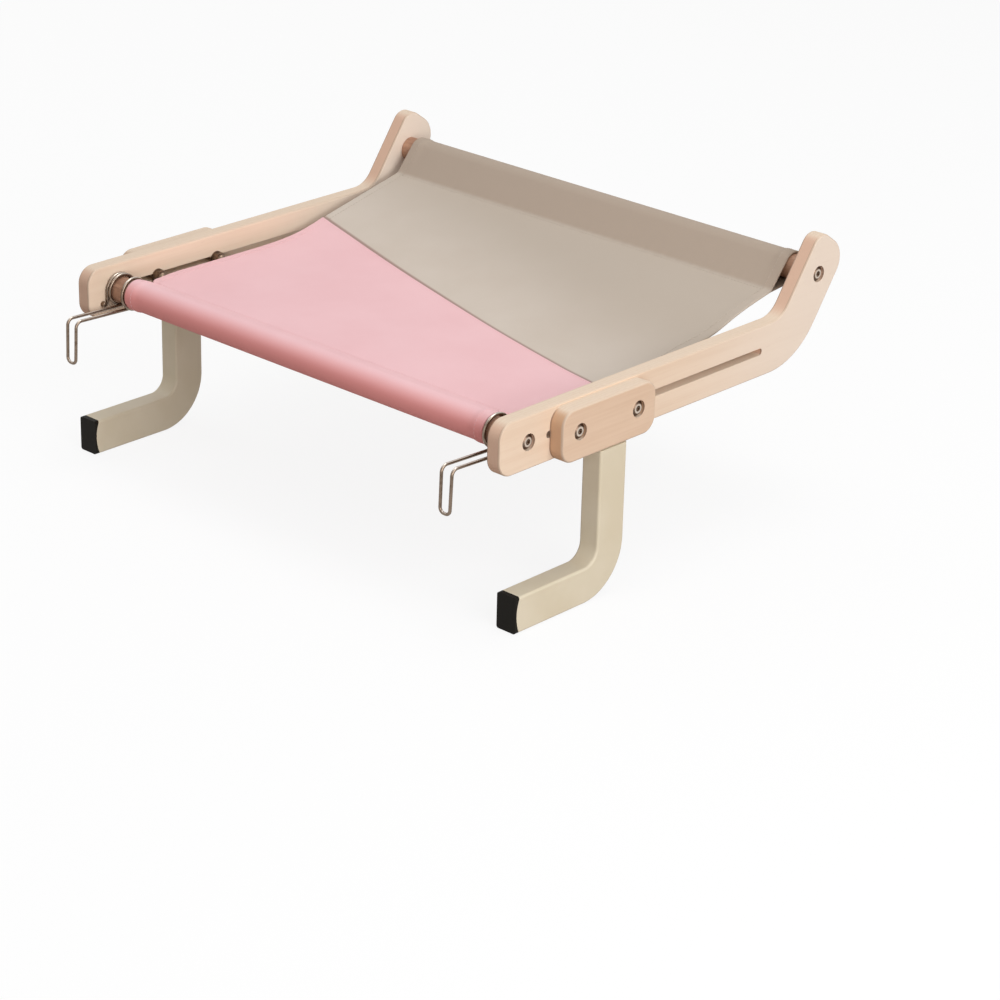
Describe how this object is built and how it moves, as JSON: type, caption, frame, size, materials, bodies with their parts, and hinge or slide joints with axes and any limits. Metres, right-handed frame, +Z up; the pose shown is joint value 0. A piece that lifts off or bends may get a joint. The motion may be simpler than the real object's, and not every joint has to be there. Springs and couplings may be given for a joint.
{
  "type": "sofa armrest cat hammock",
  "caption": "Fabric cat hammock on two bent plywood side boards, with sliding L-shaped clamp legs and sprung wire hooks that grip a sofa's arm.",
  "frame": {"origin": "middle of the line that joins the undersides of the two boards at their front ends, where the hammock rests on the sofa's arm", "axes": "+X to the hammock's right, seen from the front; +Y back, away from the hooks; +Z up"},
  "size_m": [0.47, 0.4071, 0.2125],
  "materials": {
    "board_ply": "bent birch plywood, matt lacquer",
    "cover_wood": "rubberwood, matt lacquer",
    "rail_wood": "beech dowel, stained and matt",
    "cream_paint": "cream powder coat",
    "cap_plastic": "moulded black plastic",
    "bolt_bronze": "bronze-plated steel",
    "nut_bronze": "bronze-plated steel",
    "insert_zinc": "zinc-plated",
    "spring_wire": "nickel-plated spring wire",
    "pin_steel": "bronze-plated steel",
    "pink_cloth": "smooth suede-faced canvas",
    "taupe_cloth": "smooth suede-faced canvas"
  },
  "bodies": {
    "frame": {"front_rail": "rail_wood", "back_rail": "rail_wood", "sling_front_panel": "pink_cloth", "sling_back_panel": "taupe_cloth", "side_board_left": "board_ply", "side_board_right": "board_ply", "hook_spring_outer_left": "spring_wire", "hook_spring_outer_right": "spring_wire", "hook_spring_inner_left": "spring_wire", "hook_spring_inner_right": "spring_wire", "hook_stop_pin_left": "pin_steel", "hook_stop_pin_right": "pin_steel", "rail_bolt_front_left": "bolt_bronze", "rail_bolt_front_right": "bolt_bronze", "rail_insert_front_left": "insert_zinc", "rail_insert_front_right": "insert_zinc", "rail_bolt_back_left": "bolt_bronze", "rail_bolt_back_right": "bolt_bronze", "rail_insert_back_left": "insert_zinc", "rail_insert_back_right": "insert_zinc"},
    "leg_left": {"cover_plate_left": "cover_wood", "leg_tube_left": "cream_paint", "leg_bracket_left": "cream_paint", "leg_end_cap_left": "cap_plastic", "clamp_bolt_front_left": "bolt_bronze", "clamp_washer_front_left": "bolt_bronze", "clamp_nut_front_left": "nut_bronze", "clamp_bolt_back_left": "bolt_bronze", "clamp_washer_back_left": "bolt_bronze", "clamp_nut_back_left": "nut_bronze"},
    "hook_left": {"hook_wire_left": "spring_wire"},
    "leg_right": {"cover_plate_right": "cover_wood", "leg_tube_right": "cream_paint", "leg_bracket_right": "cream_paint", "leg_end_cap_right": "cap_plastic", "clamp_bolt_front_right": "bolt_bronze", "clamp_washer_front_right": "bolt_bronze", "clamp_nut_front_right": "nut_bronze", "clamp_bolt_back_right": "bolt_bronze", "clamp_washer_back_right": "bolt_bronze", "clamp_nut_back_right": "nut_bronze"},
    "hook_right": {"hook_wire_right": "spring_wire"}
  },
  "joints": [
    {"name": "leg_left_slide", "type": "slide", "parent": "frame", "child": "leg_left", "axis": [0, 1, 0], "range_m": [-0.018, 0.151]},
    {"name": "hook_left_pivot", "type": "hinge", "parent": "frame", "child": "hook_left", "pos_m": [-0.19908, 0.03, 0.0205], "axis": [-1, 0, 0], "range_deg": [-10, 45], "stiffness_Nm_per_rad": 1.2, "deforming": ["hook_spring_outer_left", "hook_spring_inner_left"]},
    {"name": "leg_right_slide", "type": "slide", "parent": "frame", "child": "leg_right", "axis": [0, 1, 0], "range_m": [-0.018, 0.151]},
    {"name": "hook_right_pivot", "type": "hinge", "parent": "frame", "child": "hook_right", "pos_m": [0.19908, 0.03, 0.0205], "axis": [-1, 0, 0], "range_deg": [-10, 45], "stiffness_Nm_per_rad": 1.2, "deforming": ["hook_spring_outer_right", "hook_spring_inner_right"]}
  ]
}
